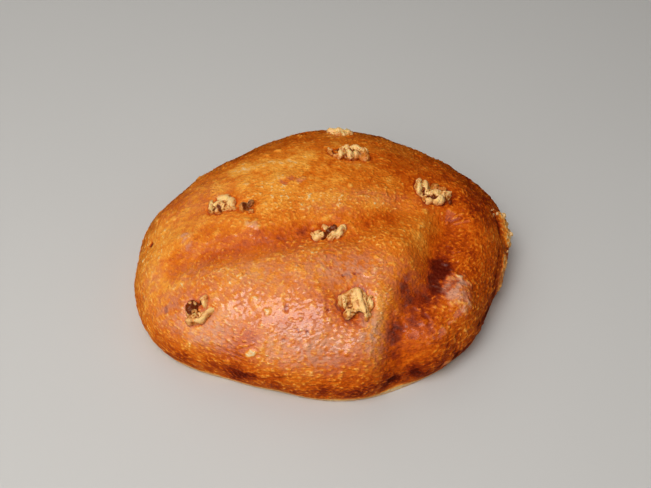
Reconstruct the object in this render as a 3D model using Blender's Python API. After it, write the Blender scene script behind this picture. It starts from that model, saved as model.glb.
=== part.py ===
"""Gata: a low, round loaf of sweet bread with pieces of walnut kernel pressed into its glazed crust.

Metres, +Z up. The loaf stands on z = 0 with its box centred on the Z axis, and its front is -Y.
Sizes below are in millimetres and degrees. Plan angles run anticlockwise from +X.
"""

import math
import random

import bmesh
import bpy
from mathutils import Matrix, Vector
from mathutils.bvhtree import BVHTree

MM = 0.001

# The loaf's smooth form.
LOAF_RADIUS = 74.6  # mean radius of the plan outline at the shoulder
LOAF_HEIGHT = 38.0  # smooth crown above the base
OUTLINE_WAVES = (  # (waves round the loaf, how far they push the outline out, angle of a crest)
    (2, 4.0, 24.5),
    (3, 1.4, 78.0),
    (4, 1.75, 17.0),
    (5, 1.1, 11.0),
    (6, 0.8, 32.0),
)
OUTLINE_NUDGES = (  # (angle, how far the outline is pushed out there, half width in degrees)
    (34.0, -1.8, 13.0),
    (68.0, 1.0, 9.0),
    (124.0, 1.0, 6.0),
    (155.0, -1.0, 8.0),
    (174.0, 1.6, 8.0),
    (-22.0, -2.0, 12.0),
    (-66.0, -1.4, 13.0),
    (-104.0, -0.8, 7.0),
    (-124.0, -1.5, 12.0),
)
SHOULDER = 0.24  # share of the height at which the side is widest
CROWN_POWER = 2.0  # how round the crown is from the side
EDGE_POWER = 2.4  # above 2, the crown is flatter and the side steeper
TUCK = 0.045  # how far the side turns in under the shoulder, as a share of the radius

# The foot: the dough's flat bottom edge, which has spread a little under the risen side.
FOOT_HEIGHT = 2.2
FOOT_REACH = 1.0
LIP_ANGLE = 13.0  # middle of the torn lip, where the foot sticks out most
LIP_WIDTH = 12.0
LIP_REACH = 1.8
LIP_HEIGHT = 8.0
LIP_TEETH = 0.8  # how deep the torn edge is nicked

# Even triangles: rings from the crown's middle out to the foot, wider apart on the crown.
RINGS = 32
FIRST_CORNER = 30.0  # plan angle of a corner of the hexagon that the rings start as
CROWN_SPACING = 1.35  # of the mean spacing; the foot gets the rest

# Valleys and ridges run along a line: ((x, y), ...), height of the ridge or depth of the valley, half width.
FOLDS = (
    (((-56, -26), (-37, -24.5), (-24, -23), (-10, -18.5), (9, -16), (19, -10), (30, -1)), -2.6, 6.5),
    (((48, -5), (45, -15), (43.5, -26), (42, -35), (33, -44), (27, -53), (25, -62)), -4.6, 7.5),
    (((26, -22), (24, -36), (20, -52), (16, -63)), 1.8, 9.0),
    (((56, 14), (62, -2), (63, -20), (56, -40), (42, -56)), 1.6, 8.0),
)
# Swells and hollows: (x, y), height, half width.
SWELLS = (
    ((-14, -46), 2.4, 24),
    ((-44, -40), 1.2, 14),
    ((-26, 12), 1.6, 22),
    ((8, 8), 1.0, 18),
    ((49, -35), 2.2, 5.5),
    ((50.5, -43), 1.4, 6),
    ((-16, 13), 1.0, 4.5),
    ((-56, -14), 0.8, 4.5),
    ((-29, -12), 0.9, 3.5),
    ((-40, -7), 0.7, 6),
    ((6, -66), -1.2, 12),
    ((-40, -62), -0.8, 10),
)
# Small blisters of the baked crust, scattered by a seeded rule.
BLISTER_SEED = 7
BLISTERS = 260
BLISTER_HEIGHT = (0.1, 0.45)
BLISTER_WIDTH = (1.8, 4.5)

# Walnut pieces, broken from kernels: each is a cluster of lobes melted into one.
LOBE_SUBDIVISIONS = 2
KERNEL_VOXEL = 0.5
TRIANGLES_PER_LOBE = 72
SOCKET_GROWTH = 0.5  # clear space between a kernel and the crust round it

# A lobe is (x, y, z, length, width, height, turn about z) in the piece's own frame, whose z points out of the
# crust. The first lobe is the core that the others grow from. A piece's frame is centred over its place in the
# plan, sunk under the crust. Its dimple is the (depth, half width) of the hollow that it was pressed into.

KERNELS = {
    "walnut_front_right": {
        "place": (10.5, -48.4),
        "sink": 0.3,
        "dimple": (1.3, 8.5),
        "lobes": (
            (0.4, 0.4, -1.2, 11.5, 11.0, 4.4, 10),
            (1.2, 3.2, 0.6, 6.4, 7.4, 5.6, 20),
            (0.8, -0.6, 0.3, 5.4, 6.4, 5.6, 0),
            (3.2, -1.4, 0.6, 11.5, 3.2, 6.2, -78),
            (-3.2, 3.0, 0.4, 8.4, 2.8, 5.0, 36),
            (-5.6, -0.6, -0.2, 4.6, 2.0, 4.6, 80),
            (-3.7, 0.0, 0.0, 2.8, 3.0, 4.6, 0),
            (-2.6, -4.4, 0.6, 3.4, 4.4, 5.2, 0),
            (-0.4, -3.8, 0.0, 3.0, 2.6, 4.4, 0),
            (5.7, -0.4, -0.6, 9.0, 3.0, 4.4, 86),
        ),
    },
    "walnut_front_left": {
        "place": (-47.7, -46.8),
        "sink": 0.3,
        "dimple": (1.4, 7.0),
        "lobes": (
            (0.0, -0.2, -1.4, 10.0, 8.4, 4.0, 0),
            (-2.3, 0.8, 0.2, 5.4, 7.4, 6.2, 0),
            (2.6, 3.2, 0.2, 3.8, 5.4, 5.4, -12),
            (3.8, -1.6, 0.4, 6.6, 2.8, 5.4, 36),
            (0.4, -4.0, 0.2, 4.6, 2.6, 5.0, 14),
            (-3.2, -3.6, -0.1, 4.4, 2.6, 4.8, -20),
        ),
    },
    "walnut_middle": {
        "place": (0.9, -15.6),
        "sink": 0.2,
        "dimple": (0.9, 7.5),
        "lobes": (
            (0.2, 0.2, -1.2, 11.5, 6.8, 4.0, 22),
            (-4.7, -2.4, 0.4, 3.2, 3.8, 5.0, -20),
            (-4.8, 0.8, 0.0, 4.6, 2.0, 4.6, 34),
            (-2.2, -1.2, 0.2, 2.6, 3.6, 5.0, 0),
            (-1.8, 3.4, 0.1, 3.2, 3.2, 4.8, 0),
            (0.0, 1.4, 0.0, 2.2, 2.2, 4.6, 0),
            (1.8, 3.2, 0.0, 3.4, 2.8, 4.8, 10),
            (1.5, -1.4, 0.5, 6.6, 2.6, 5.4, 58),
            (4.7, 0.8, 0.5, 8.0, 3.2, 5.8, 60),
        ),
    },
    "walnut_right": {
        "place": (44.4, 10.8),
        "sink": 0.2,
        "dimple": (0.9, 9.0),
        "lobes": (
            (0.0, -0.4, -1.4, 14.0, 9.0, 4.2, -8),
            (-6.4, 2.6, 0.5, 3.2, 9.6, 5.8, -3),
            (-3.7, 3.4, 0.3, 3.2, 7.6, 5.4, -6),
            (-3.1, -4.0, 0.2, 4.4, 4.8, 5.2, 20),
            (1.6, -4.2, 0.4, 6.0, 4.6, 5.8, 0),
            (0.8, -0.2, 0.4, 4.4, 4.2, 5.4, 0),
            (4.9, -0.2, 0.5, 6.4, 3.4, 5.6, 16),
            (1.0, 4.0, 0.0, 4.2, 4.4, 5.0, 0),
            (4.4, 3.2, 0.0, 3.4, 3.4, 4.8, 0),
            (6.4, -3.4, -0.4, 2.2, 4.0, 4.6, 10),
        ),
    },
    "walnut_back": {
        "place": (10.0, 34.4),
        "sink": 0.0,
        "dimple": (0.6, 8.5),
        "lobes": (
            (0.8, 0.0, -1.2, 15.5, 8.6, 4.2, 4),
            (-4.0, -2.4, 0.6, 2.8, 5.0, 6.0, 0),
            (-0.2, -2.8, 0.7, 3.8, 5.6, 6.4, 8),
            (2.8, -1.6, 0.3, 3.8, 5.4, 5.8, 0),
            (2.8, 3.0, 0.6, 4.8, 5.0, 6.0, 0),
            (6.2, 1.2, 0.2, 4.6, 4.4, 5.6, 0),
            (6.8, -2.8, 0.0, 4.2, 4.4, 5.2, 0),
            (-1.2, 3.4, 0.3, 4.2, 4.4, 5.6, 0),
            (-7.4, 0.4, -0.2, 9.0, 2.2, 4.8, -66),
            (-4.8, 3.2, -0.6, 5.0, 3.0, 4.4, 0),
        ),
    },
    "walnut_left": {
        "place": (-41.4, 2.0),
        "sink": 0.5,
        "dimple": (0.5, 7.0),
        "lobes": (
            (-0.2, 0.0, -1.2, 11.0, 8.6, 4.0, 0),
            (-5.0, -1.2, 0.3, 2.8, 7.6, 5.4, 4),
            (-2.2, 0.4, 0.2, 3.4, 4.8, 5.2, -10),
            (-1.6, -4.0, 0.1, 3.4, 3.0, 5.0, 10),
            (-0.4, 4.2, 0.2, 7.0, 3.0, 5.0, 14),
            (1.0, 2.6, 0.3, 2.8, 3.4, 5.2, 0),
            (3.2, 0.2, 0.4, 4.4, 7.0, 5.6, -14),
            (3.8, -3.6, 0.1, 5.4, 2.6, 4.8, -6),
        ),
    },
    "walnut_left_small": {
        "place": (-31.4, -1.8),
        "sink": 0.4,
        "dimple": (0.7, 4.8),
        "lobes": (
            (0.0, 0.0, -1.0, 6.2, 6.0, 4.0, 0),
            (-1.9, 0.2, 0.2, 3.2, 6.4, 5.2, -6),
            (1.6, 1.4, 0.3, 3.6, 3.8, 5.2, 0),
            (1.7, -2.4, 0.0, 3.0, 3.2, 4.8, 0),
        ),
    },
    "walnut_far": {
        "place": (6.2, 59.2),
        "sink": 0.8,
        "dimple": (0.4, 7.0),
        "lobes": (
            (0.0, 0.0, -1.2, 11.5, 7.0, 4.0, 0),
            (-3.6, 0.4, 0.4, 5.2, 5.6, 5.8, 12),
            (0.0, 0.8, 0.6, 5.4, 6.0, 6.2, 0),
            (3.6, 0.2, 0.4, 5.4, 5.4, 5.8, -10),
            (0.4, -3.0, 0.0, 6.4, 3.4, 5.0, 0),
        ),
    },
}

CRUST_COLOUR = (0.52, 0.17, 0.035, 1.0)
WALNUT_COLOUR = (0.70, 0.47, 0.22, 1.0)


def clear_scene():
    for obj in list(bpy.data.objects):
        bpy.data.objects.remove(obj)


def principled(name, colour, roughness):
    material = bpy.data.materials.new(name)
    material.use_nodes = True
    shader = material.node_tree.nodes["Principled BSDF"]
    shader.inputs["Base Color"].default_value = colour
    shader.inputs["Roughness"].default_value = roughness
    shader.inputs["Metallic"].default_value = 0.0
    return material


def bell(distance, half_width):
    """1 at the middle, falling smoothly to almost nothing at twice the half width."""
    return math.exp(-((distance / half_width) ** 2))


def turn_between(angle, other):
    """Degrees from one plan angle to another, the short way round."""
    return (angle - other + 180.0) % 360.0 - 180.0


def outline_radius(angle):
    waves = (push * math.cos(math.radians(count * (angle - crest))) for count, push, crest in OUTLINE_WAVES)
    nudges = (push * bell(turn_between(angle, middle), half) for middle, push, half in OUTLINE_NUDGES)
    return LOAF_RADIUS + sum(waves) + sum(nudges)


def profile_reach(level):
    """The smooth crust's distance from the middle, as a share of the outline, at a share of the height."""
    if level >= SHOULDER:
        rise = (level - SHOULDER) / (1.0 - SHOULDER)
        return max(0.0, 1.0 - rise**CROWN_POWER) ** (1.0 / EDGE_POWER)
    return 1.0 - TUCK * (1.0 - level / SHOULDER) ** 2


def foot_push(angle, height):
    """How far the foot and its torn lip stand out from the smooth side at a height."""
    teeth = LIP_TEETH * (math.sin(math.radians(41 * angle)) + 0.6 * math.sin(math.radians(67 * angle)))
    lip = bell(turn_between(angle, LIP_ANGLE), LIP_WIDTH)
    plain = FOOT_REACH * bell(height, FOOT_HEIGHT)
    return plain + lip * (LIP_REACH + teeth) * bell(height, LIP_HEIGHT)


def profile_levels():
    """Levels of the rings from the crown (1) to the base (0), spaced along the profile's own length."""
    fine = [math.sin(math.radians(90.0 * i / 600)) ** (2.0 / CROWN_POWER) for i in range(601)]
    levels = [SHOULDER * i / 100 for i in range(100)] + [SHOULDER + (1.0 - SHOULDER) * rise for rise in fine]
    levels.reverse()
    along = [0.0]
    for upper, lower in zip(levels, levels[1:]):
        across = LOAF_RADIUS * (profile_reach(upper) - profile_reach(lower))
        along.append(along[-1] + math.hypot(across, LOAF_HEIGHT * (upper - lower)))
    chosen = []
    for ring in range(RINGS + 1):
        share = ring / RINGS
        wanted = along[-1] * (CROWN_SPACING * share - (CROWN_SPACING - 1.0) * share**2)
        nearest = min(range(len(along)), key=lambda i: abs(along[i] - wanted))
        chosen.append(levels[nearest])
    return chosen


def hexagon_of_rings():
    """A flat hexagon of even triangles, RINGS rings deep, with corners at distance 1."""
    mesh = bmesh.new()
    bmesh.ops.create_circle(mesh, cap_ends=True, cap_tris=True, segments=6, radius=1.0)
    bmesh.ops.subdivide_edges(mesh, edges=mesh.edges[:], cuts=RINGS - 1, use_grid_fill=True)
    return mesh


def ring_and_angle(point):
    """Which ring of the hexagon a point lies on, and its plan angle once the rings are pulled round."""
    angle = math.degrees(math.atan2(point.y, point.x))
    corner = FIRST_CORNER + 60.0 * ((angle - FIRST_CORNER) // 60.0)
    bisector = math.radians(corner + 30.0)
    inset = point.x * math.cos(bisector) + point.y * math.sin(bisector)
    ring = round(RINGS * inset / math.cos(math.radians(30.0)))
    if ring == 0:
        return 0, 0.0
    # Along the side of the hexagon, distance from its first corner is a share of 60 degrees.
    sideways = -point.x * math.sin(bisector) + point.y * math.cos(bisector)
    return ring, corner + 60.0 * (0.5 + sideways * RINGS / ring)


def fold_relief(x, y):
    total = 0.0
    for line, height, half_width in FOLDS:
        place = Vector((x, y))
        distances = []
        for start, end in zip(line, line[1:]):
            a, b = Vector(start), Vector(end)
            share = max(0.0, min(1.0, (place - a).dot(b - a) / (b - a).length_squared))
            distances.append((place - a.lerp(b, share)).length)
        total += height * bell(min(distances), half_width)
    return total


def scattered_blisters():
    """(x, y), height, half width of each small blister, spread evenly over the crust."""
    draw = random.Random(BLISTER_SEED)
    found = []
    while len(found) < BLISTERS:
        x, y = draw.uniform(-90, 90), draw.uniform(-90, 90)
        if math.hypot(x, y) < outline_radius(math.degrees(math.atan2(y, x))) - 3.0:
            found.append(((x, y), draw.uniform(*BLISTER_HEIGHT), draw.uniform(*BLISTER_WIDTH)))
    return found


def spots_relief(spots, x, y):
    """Sum of round spots, each (x, y), height, half width."""
    return sum(
        height * bell(math.hypot(x - cx, y - cy), half)
        for (cx, cy), height, half in spots
        if abs(x - cx) < 2.5 * half and abs(y - cy) < 2.5 * half
    )


def loaf_form():
    """The whole crust in mm, as a closed bmesh: smooth form, then relief pushed along its normals."""
    mesh = hexagon_of_rings()
    levels = profile_levels()
    for vertex in mesh.verts:
        ring, angle = ring_and_angle(vertex.co)
        height = LOAF_HEIGHT * levels[ring]
        radius = outline_radius(angle) * profile_reach(levels[ring]) + foot_push(angle, height)
        direction = math.radians(angle)
        vertex.co = (radius * math.cos(direction), radius * math.sin(direction), height)

    rim = [edge for edge in mesh.edges if edge.is_boundary]
    base = bmesh.ops.contextual_create(mesh, geom=rim)["faces"]
    bmesh.ops.poke(mesh, faces=base)
    bmesh.ops.recalc_face_normals(mesh, faces=mesh.faces[:])
    mesh.normal_update()

    dimples = [(kernel["place"], -kernel["dimple"][0], kernel["dimple"][1]) for kernel in KERNELS.values()]
    spots = list(SWELLS) + dimples + scattered_blisters()
    for vertex in mesh.verts:
        free = min(1.0, vertex.co.z / (SHOULDER * LOAF_HEIGHT))  # the foot stays flat on the table
        push = fold_relief(vertex.co.x, vertex.co.y) + spots_relief(spots, vertex.co.x, vertex.co.y)
        if vertex.co.z > 0.0:
            vertex.co += vertex.normal * push * free
    return mesh


def crust_frame(tree, place, sink):
    """Placing matrix in mm for a piece on the crust: origin sunk under the surface, z along its normal."""
    above = Vector((*place, 2.0 * LOAF_HEIGHT))
    point, normal, _, _ = tree.ray_cast(above, Vector((0.0, 0.0, -1.0)))
    tilt = Vector((0.0, 0.0, 1.0)).rotation_difference(normal).to_matrix().to_4x4()
    return Matrix.Translation(point - normal * sink) @ tilt


def object_from(mesh, name, materials=()):
    """Turns a bmesh in mm into an object in metres."""
    mesh.transform(Matrix.Scale(MM, 4))
    data = bpy.data.meshes.new(name)
    mesh.to_mesh(data)
    mesh.free()
    for material in materials:
        data.materials.append(material)
    obj = bpy.data.objects.new(name, data)
    bpy.context.scene.collection.objects.link(obj)
    return obj


def lobe_matrix(lobe, growth=0.0):
    """Turns a unit ball into a lobe, in its kernel's frame."""
    x, y, z, length, width, height, turn = lobe
    half = (length / 2 + growth, width / 2 + growth, height / 2 + growth)
    return Matrix.Translation((x, y, z)) @ Matrix.Rotation(math.radians(turn), 4, "Z") @ Matrix.Diagonal((*half, 1.0))


def lobes_mesh(lobes, placing, growth=0.0):
    """Overlapping balls, one for each lobe, in mm."""
    mesh = bmesh.new()
    for lobe in lobes:
        matrix = placing @ lobe_matrix(lobe, growth)
        bmesh.ops.create_icosphere(mesh, subdivisions=LOBE_SUBDIVISIONS, radius=1.0, matrix=matrix)
    return mesh


def applied(obj):
    """Puts the object's evaluated mesh in place of its modifiers."""
    graph = bpy.context.evaluated_depsgraph_get()
    data = bpy.data.meshes.new_from_object(obj.evaluated_get(graph))
    data.name = obj.name
    obj.modifiers.clear()
    obj.data = data


def kernel_object(name, lobes, placing, material):
    """One closed body: the lobes melted together by a remesh, then thinned to few triangles."""
    kernel = object_from(lobes_mesh(lobes, placing), name, [material])
    melt = kernel.modifiers.new("melt", "REMESH")
    melt.mode = "VOXEL"
    melt.voxel_size = KERNEL_VOXEL * MM
    melt.use_smooth_shade = True
    applied(kernel)
    thin = kernel.modifiers.new("thin", "DECIMATE")
    thin.ratio = min(1.0, TRIANGLES_PER_LOBE * len(lobes) / (2 * len(kernel.data.polygons)))
    thin.use_collapse_triangulate = True
    applied(kernel)
    return kernel


def socket_object(name, lobes, placing):
    """Cutter for a kernel's bed: the convex hull of its lobes, each grown by the gap."""
    mesh = lobes_mesh(lobes, placing, SOCKET_GROWTH)
    bmesh.ops.delete(mesh, geom=mesh.edges[:], context="EDGES_FACES")  # the points alone make the hull
    bmesh.ops.convex_hull(mesh, input=mesh.verts[:], use_existing_faces=False)
    bmesh.ops.delete(mesh, geom=[vertex for vertex in mesh.verts if not vertex.link_faces], context="VERTS")
    bmesh.ops.recalc_face_normals(mesh, faces=mesh.faces[:])
    cutter = object_from(mesh, name)
    cutter.hide_render = True
    cutter.display_type = "WIRE"
    return cutter


def smooth(obj):
    obj.data.shade_smooth()
    obj.data.set_sharp_from_angle(angle=math.radians(50))


def main():
    clear_scene()
    crust = principled("glazed_crust", CRUST_COLOUR, 0.32)
    nut = principled("walnut_kernel", WALNUT_COLOUR, 0.6)

    gata = bpy.data.objects.new("gata", None)
    bpy.context.scene.collection.objects.link(gata)

    form = loaf_form()
    tree = BVHTree.FromBMesh(form)
    loaf = object_from(form, "loaf", [crust])

    sockets = bpy.data.collections.new("sockets")
    bpy.context.scene.collection.children.link(sockets)
    sockets.hide_render = True
    kernels = []
    for name, kernel in KERNELS.items():
        placing = crust_frame(tree, kernel["place"], kernel["sink"])
        kernels.append(kernel_object(name, kernel["lobes"], placing, nut))
        cutter = socket_object(name + "_socket", kernel["lobes"], placing)
        bpy.context.scene.collection.objects.unlink(cutter)
        sockets.objects.link(cutter)

    pressed = loaf.modifiers.new("sockets", "BOOLEAN")
    pressed.operation = "DIFFERENCE"
    pressed.operand_type = "COLLECTION"
    pressed.collection = sockets
    pressed.solver = "EXACT"

    # The box of the loaf is centred on the Z axis by moving what everything hangs from.
    xs = [corner[0] for corner in loaf.bound_box]
    ys = [corner[1] for corner in loaf.bound_box]
    gata.location = (-(min(xs) + max(xs)) / 2, -(min(ys) + max(ys)) / 2, 0.0)
    for obj in [loaf, *kernels, *sockets.objects]:
        obj.parent = gata
        smooth(obj)


main()
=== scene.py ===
"""The look of a gata: a low, round, egg-washed sweet bread with walnut pieces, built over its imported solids.

Metres, +Z up, front -Y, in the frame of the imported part. Sizes that are named in mm become metres by MM.
"""

import math
import random

import bpy
import numpy as np
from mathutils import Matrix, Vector, noise
from mathutils.bvhtree import BVHTree


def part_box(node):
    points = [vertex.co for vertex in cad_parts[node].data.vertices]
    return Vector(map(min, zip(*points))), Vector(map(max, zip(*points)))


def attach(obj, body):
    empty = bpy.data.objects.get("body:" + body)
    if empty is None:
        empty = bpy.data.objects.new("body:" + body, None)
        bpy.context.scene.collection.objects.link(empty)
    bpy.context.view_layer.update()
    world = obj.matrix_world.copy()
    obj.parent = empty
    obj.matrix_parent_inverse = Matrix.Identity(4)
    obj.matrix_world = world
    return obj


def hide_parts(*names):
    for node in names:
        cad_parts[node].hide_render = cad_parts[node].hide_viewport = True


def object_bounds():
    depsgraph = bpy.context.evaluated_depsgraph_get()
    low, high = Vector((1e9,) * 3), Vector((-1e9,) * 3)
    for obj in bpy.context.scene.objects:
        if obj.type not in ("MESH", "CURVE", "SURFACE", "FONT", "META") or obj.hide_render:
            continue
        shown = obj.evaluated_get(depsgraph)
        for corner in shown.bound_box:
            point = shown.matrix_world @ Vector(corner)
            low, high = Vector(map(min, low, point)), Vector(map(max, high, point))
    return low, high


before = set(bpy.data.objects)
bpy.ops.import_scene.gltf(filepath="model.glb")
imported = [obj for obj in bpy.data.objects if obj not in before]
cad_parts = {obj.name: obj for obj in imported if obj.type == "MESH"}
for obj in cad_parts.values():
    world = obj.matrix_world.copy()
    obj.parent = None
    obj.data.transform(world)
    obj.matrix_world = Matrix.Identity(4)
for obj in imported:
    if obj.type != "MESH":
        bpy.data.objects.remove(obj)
CAD_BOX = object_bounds()

bl_info = {
    "name": "Gata bread",
    "version": (1, 0, 0),
    "blender": (4, 5, 0),
    "location": "3D View > Sidebar > Gata",
    "description": "Builds a baked, egg-washed gata with walnut pieces over its packed solids",
    "category": "Add Mesh",
}

MM = 0.001
BODY = "root"
WALNUTS = tuple(sorted(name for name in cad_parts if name.startswith("walnut")))

# The photo's view: lens and sensor width in mm, degrees down, and metres from a point on the floor.
PHOTO_LENS = 50.0
PHOTO_SENSOR = 36.0
VIEW_ELEVATION = 44.2
VIEW_DISTANCE = 0.4
VIEW_TARGET = (-0.45 * MM, 13.2 * MM, 0.0)
LOAF_MIDDLE = (0.0, 0.0, 20.0 * MM)

# How the browning and painted light differ over the crust, a row for each place in the plan: x, y, half width
# and half length in mm, how much darker (above 0) or paler (below 0) it is there, and its turn in degrees if
# it has one. Most rows are baking;
# the rows marked below are painted shade or painted highlights, and the right side's rows are baking and
# painted shade together.
BAKE_AND_SHADE_PATCHES = (
    (44.6, -28.6, 4.8, 5.4, 0.26),
    (40.8, -36, 3.4, 3.4, 0.26),
    (36, -43, 6.5, 3.6, 0.26, 10),
    (35, -51.8, 5, 5, 0.2),
    (25, -58.5, 2.6, 8, 0.19, -10),
    (33, -58, 10, 8, 0.18),
    (53, -52, 7, 6, 0.04),
    (30, 26, 13, 12, 0.1),
    (36.8, -19, 4, 7, -0.24),
    (-23, 8, 13, 11, -0.16),
    (-10, -2, 12, 7, -0.16),
    (-22, 24, 20, 9, -0.14, 10),
    (-11, 27, 9, 8, -0.12),
    (-37, 23, 8, 9, -0.1),
    (2, 11, 8, 8, -0.1),
    (10, 41, 14, 5, -0.1, -10),
    (13, -11, 9, 5, 0.08),
    # painted shadow beside and under the front right kernel: this row and the next
    (1.4, -52, 6, 5, 0.2),
    (10.4, -58, 4.6, 2.6, 0.24),
    # painted highlight right of the front right kernel, where the light glances off the glaze
    (17, -59, 3.6, 6, -0.1),
    (12, 15, 7, 5, 0.16),
    (-9, -16.5, 11, 4, 0.15, 10),
    (-26, -21.5, 18, 4, 0.13, 6),
    (29, -39.5, 4.6, 5, 0.2),
    (46, -39, 6, 3.5, 0.16),
    (44, -8, 6, 5, -0.14),
    (62, -27, 6, 10, -0.1),
    (-62, -26, 7, 6, 0.15),
    # painted highlight above the left kernels, where the light glances off the glaze
    (-42, 11, 5, 4, -0.2),
    (6, -1, 26, 4, -0.13),
    (-32, -61, 5, 3.6, 0.12),
    # painted highlight on the front dome, where the light's broad reflection lies
    (-28, -38, 10, 6, -0.08),
    (-48, -57, 7, 4, -0.1),
    (37, 15, 4, 4, 0.1),
    (54, -6, 8, 8, -0.05),
    (-21, -64.5, 6, 3.6, -0.22),
    (3, -66, 7, 4, -0.12),
    # painted highlight right of the front right kernel, where the light glances off the glaze
    (18.4, -53, 4, 6.6, -0.28),
    (21.5, -8, 7, 4, 0.13),
    (4, -70, 8, 4, 0.08),
    (-6, -74, 24, 4, -0.03),
    (-34, -53, 18, 8, -0.05),
    (22, -62.5, 3, 6, 0.08),
    (-14.5, -1, 6, 4, -0.07),
    (21, 6, 7, 4, -0.08),
    (-1.6, -11.5, 5, 3, -0.1),
    (0, 33, 4, 5, 0.12),
    # painted sheen on the left rim: this row and the next
    (-65, -6, 6, 7, -0.1),
    (-69, -31, 4, 7, -0.1),
    (-38, -62, 16, 5, 0.08),
    # painted shade in the dip beside the front left kernel
    (-55, -43.6, 5, 4, 0.12),
    (-60, -18, 9, 16, -0.07),
    # painted sheen on the left rim
    (-70, -14, 9, 22, -0.16),
    (26.5, 13.5, 5, 4, -0.16),
    # darker on the right, away from the light: baking and painted shade, this row and the next
    (58, -18, 16, 40, 0.16),
    (60, 22, 14, 24, 0.12),
    (-26, -30, 44, 36, -0.06),
)

# Where a painted milky sheen stands for the light's broad reflection in the glaze, and how far, in the same
# way.
PAINTED_SHEEN_PATCHES = (
    (-22, -47, 38, 22, 0.24),
    (18, 2, 16, 4, 0.2),
    (0, -6, 10, 3, 0.22),
    (-54, 5, 16, 16, 0.16),
    (9, -37, 17, 7, 0.5),
    (-28, -38, 12, 6, 0.26),
    (-52, -34, 8, 6, 0.22),
    (-60, -45, 6, 6, 0.34),
    (-68, -30, 5, 8, 0.24),
    (-44, -55.5, 12, 6, 0.55, -14),
    (-10, -64, 16, 6, 0.5),
    (-1, -67, 9, 5, 0.36),
    (16.5, -58, 4, 7, 0.7),
    (13, -62, 5, 4, 0.4),
    (-30, -62, 6, 5, -0.28),
)

# Where the crust is smooth with thin egg wash and how far, in the same way.
CALM_PATCHES = (
    (-20, 24, 27, 16, 0.95, 10),
    (6, 12, 16, 10, 0.55),
    (-5, -14, 30, 5, 0.4, 8),
    (-18, -19, 24, 4, 0.45, 6),
    (-63, -32, 10, 14, 0.4),
    (37, -19, 6, 8, 0.5),
    (29, -59, 11, 9, 0.95),
    (43.5, -30, 5, 7, 0.6),
    (29, -40, 5, 8, 0.7),
    (-58, 0, 16, 26, 0.55),
    (-30, -6, 14, 9, 0.3),
    (63, -6, 9, 15, 0.45),
    (46, 24, 20, 16, 0.3),
)

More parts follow.
